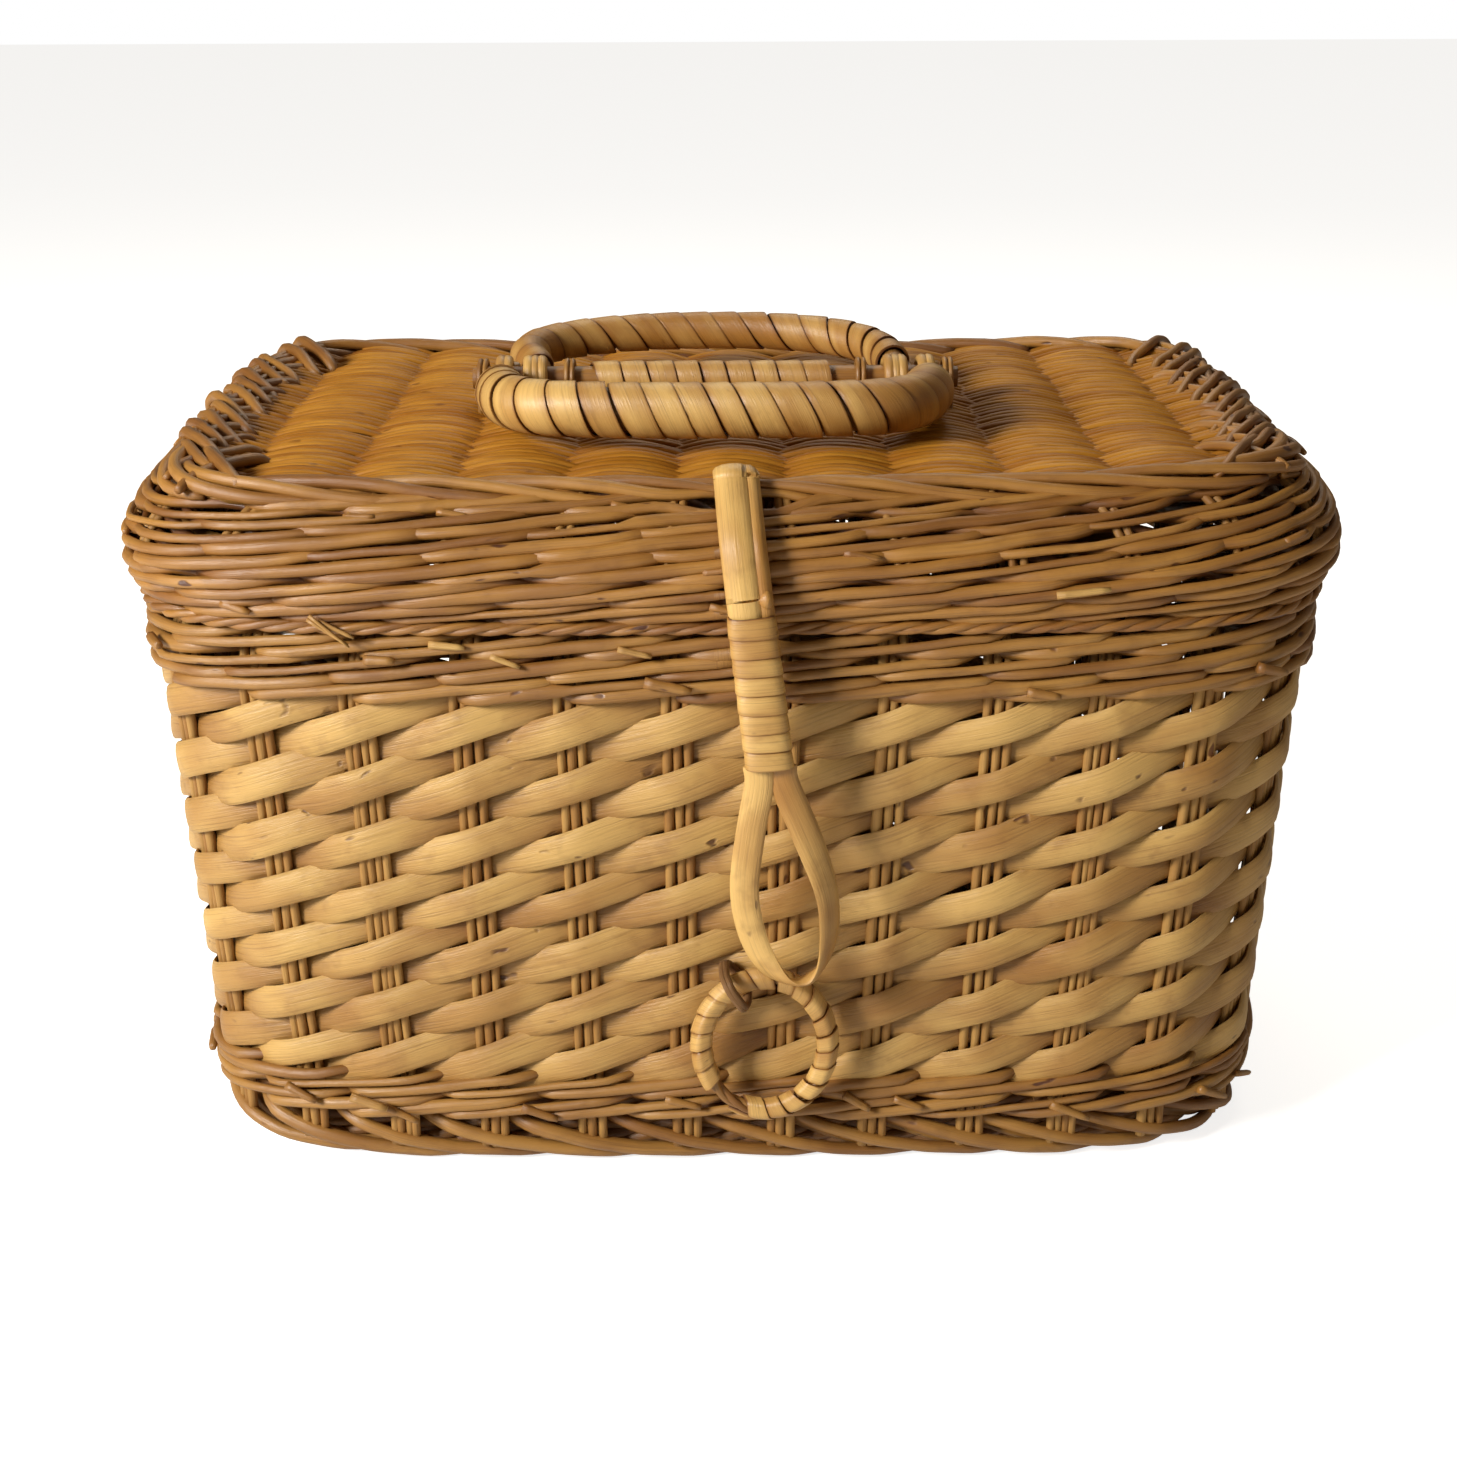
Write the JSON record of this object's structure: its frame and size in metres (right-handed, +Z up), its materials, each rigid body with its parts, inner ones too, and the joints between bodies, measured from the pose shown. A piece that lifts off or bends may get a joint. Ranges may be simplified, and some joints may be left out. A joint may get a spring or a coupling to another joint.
{
  "type": "lidded willow basket",
  "caption": "Lidded basket of woven willow: a cap lid hinged at the back, swinging wrapped handles on top, and a strap-and-ring clasp at the front.",
  "frame": {"origin": "centre of the bounding box in plan, on the ground under the foot", "axes": "+X along the basket's length to the right seen from the front, +Y from the clasp at the front to the hinges at the back, +Z up"},
  "size_m": [0.38, 0.2673, 0.2493],
  "materials": {
    "weave_willow": "split willow, dry, satin",
    "wale_willow": "peeled willow rods, satin",
    "stake_willow": "peeled willow rods, satin",
    "base_willow": "woven willow skeins, matt",
    "lid_willow": "woven willow skeins and rods, satin",
    "handle_willow": "wound willow skeins, satin to glossy",
    "clasp_willow": "wound willow skeins, satin",
    "tie_willow": "rough twisted willow, matt"
  },
  "bodies": {
    "basket": {"foot_border": "wale_willow", "base_panel": "base_willow", "base_stick_1": "stake_willow", "base_stick_2": "stake_willow", "base_stick_3": "stake_willow", "base_stick_4": "stake_willow", "base_stick_5": "stake_willow", "upset_wale_1": "wale_willow", "upset_wale_2": "wale_willow", "weave_row_01": "weave_willow", "weave_row_02": "weave_willow", "weave_row_03": "weave_willow", "weave_row_04": "weave_willow", "weave_row_05": "weave_willow", "weave_row_06": "weave_willow", "weave_row_07": "weave_willow", "weave_row_08": "weave_willow", "weave_row_09": "weave_willow", "weave_row_10": "weave_willow", "weave_row_11": "weave_willow", "ledge_wale_1": "wale_willow", "ledge_wale_2": "wale_willow", "front_stakes": "stake_willow", "right_stakes": "stake_willow", "back_stakes": "stake_willow", "left_stakes": "stake_willow", "inner_strands": "weave_willow", "left_hinge_ring": "tie_willow", "right_hinge_ring": "tie_willow", "clasp_ring_tie": "tie_willow"},
    "lid": {"lid_bottom_border": "lid_willow", "lid_inner_wall": "lid_willow", "lid_side_wale_1": "lid_willow", "lid_side_wale_2": "lid_willow", "lid_side_wale_3": "lid_willow", "lid_top_border": "lid_willow", "lid_top_panel": "lid_willow", "lid_stick_1": "stake_willow", "lid_stick_2": "stake_willow", "lid_stick_3": "stake_willow", "lid_stick_4": "stake_willow", "lid_stick_5": "stake_willow", "lid_stick_6": "stake_willow", "lid_stick_7": "stake_willow", "lid_stick_8": "stake_willow", "lid_stick_9": "stake_willow", "handle_bar": "handle_willow", "handle_bar_wrap": "handle_willow", "handle_tie_1": "tie_willow", "handle_tie_2": "tie_willow", "handle_tie_3": "tie_willow", "handle_tie_4": "tie_willow"},
    "front_handle": {"front_handle_core": "handle_willow", "front_handle_wrap": "handle_willow"},
    "rear_handle": {"rear_handle_core": "handle_willow", "rear_handle_wrap": "handle_willow"},
    "clasp_strap": {"clasp_strap_rod": "clasp_willow", "clasp_strap_wrap": "clasp_willow"},
    "clasp_ring": {"clasp_ring_core": "clasp_willow", "clasp_ring_wrap": "clasp_willow"}
  },
  "joints": [
    {"name": "lid_hinge", "type": "hinge", "parent": "basket", "child": "lid", "pos_m": [0, 0.1277, 0.1896], "axis": [-1, 0, 0], "range_deg": [0, 100]},
    {"name": "front_handle_hinge", "type": "hinge", "parent": "lid", "child": "front_handle", "pos_m": [-0.005, 0.0033, 0.2375], "axis": [-1, 0, 0], "range_deg": [0, 68]},
    {"name": "rear_handle_hinge", "type": "hinge", "parent": "lid", "child": "rear_handle", "pos_m": [-0.005, 0.0033, 0.2375], "axis": [1, 0, 0], "range_deg": [0, 68]},
    {"name": "clasp_strap_hinge", "type": "hinge", "parent": "lid", "child": "clasp_strap", "pos_m": [0.002, -0.1026, 0.228], "axis": [-1, 0, 0], "range_deg": [0, 150]},
    {"name": "clasp_ring_hinge", "type": "hinge", "parent": "basket", "child": "clasp_ring", "pos_m": [0.01, -0.11836, 0.0754], "axis": [-1, 0, 0], "range_deg": [0, 70]}
  ]
}
